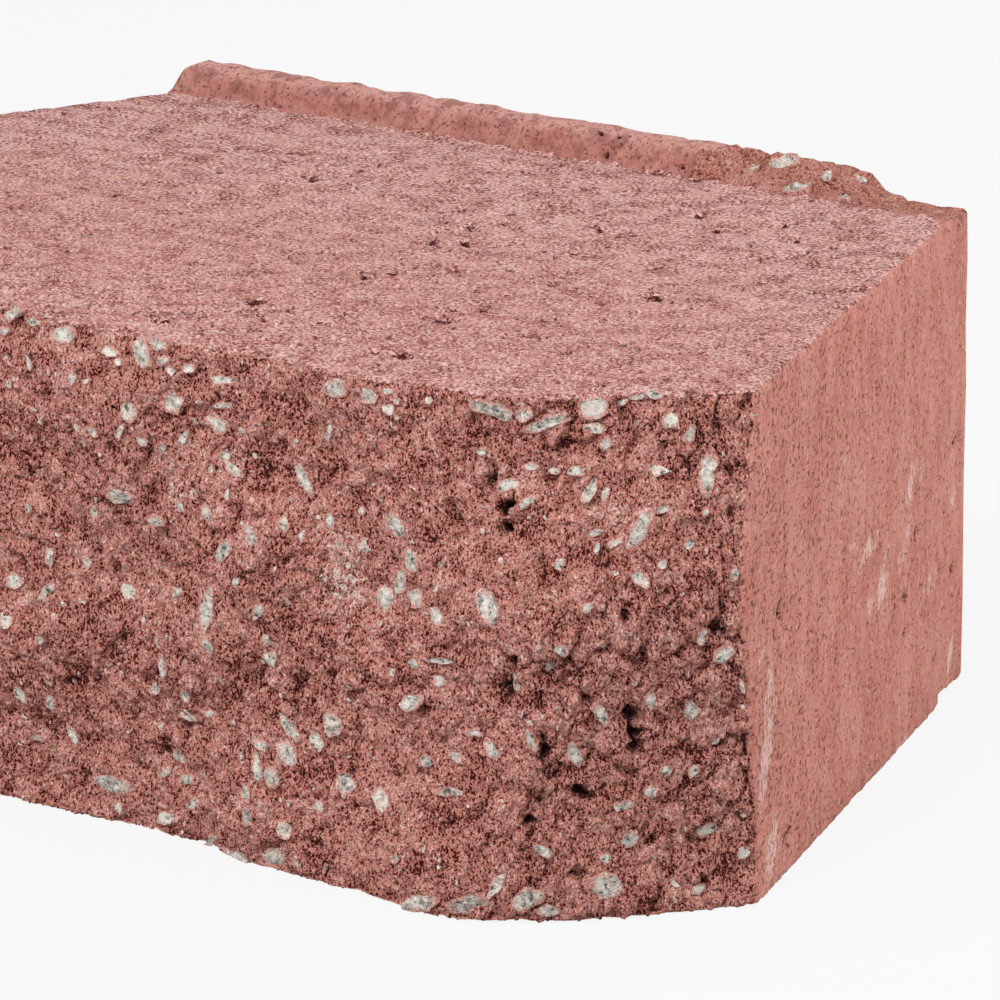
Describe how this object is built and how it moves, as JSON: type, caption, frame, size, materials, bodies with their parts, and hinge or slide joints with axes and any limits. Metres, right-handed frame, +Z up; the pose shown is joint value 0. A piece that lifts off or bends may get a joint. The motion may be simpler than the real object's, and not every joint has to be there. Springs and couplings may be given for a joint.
{
  "type": "retaining wall block",
  "caption": "Tapered cast concrete block with a rough split, bevelled face and a raised rear lip, stacked dry in staggered courses as a low retaining wall.",
  "frame": {"origin": "middle of the bed (the underside), midway between the split line of the face and the back", "axes": "+X along the face, to the right as seen from the front; +Y to the back; +Z up"},
  "size_m": [0.3102, 0.1949, 0.1079],
  "materials": {
    "concrete": "rough red-pigmented concrete; granite chips bared on the split face, finely pitted elsewhere"
  },
  "bodies": {
    "root": {"block": "concrete"}
  },
  "joints": []
}
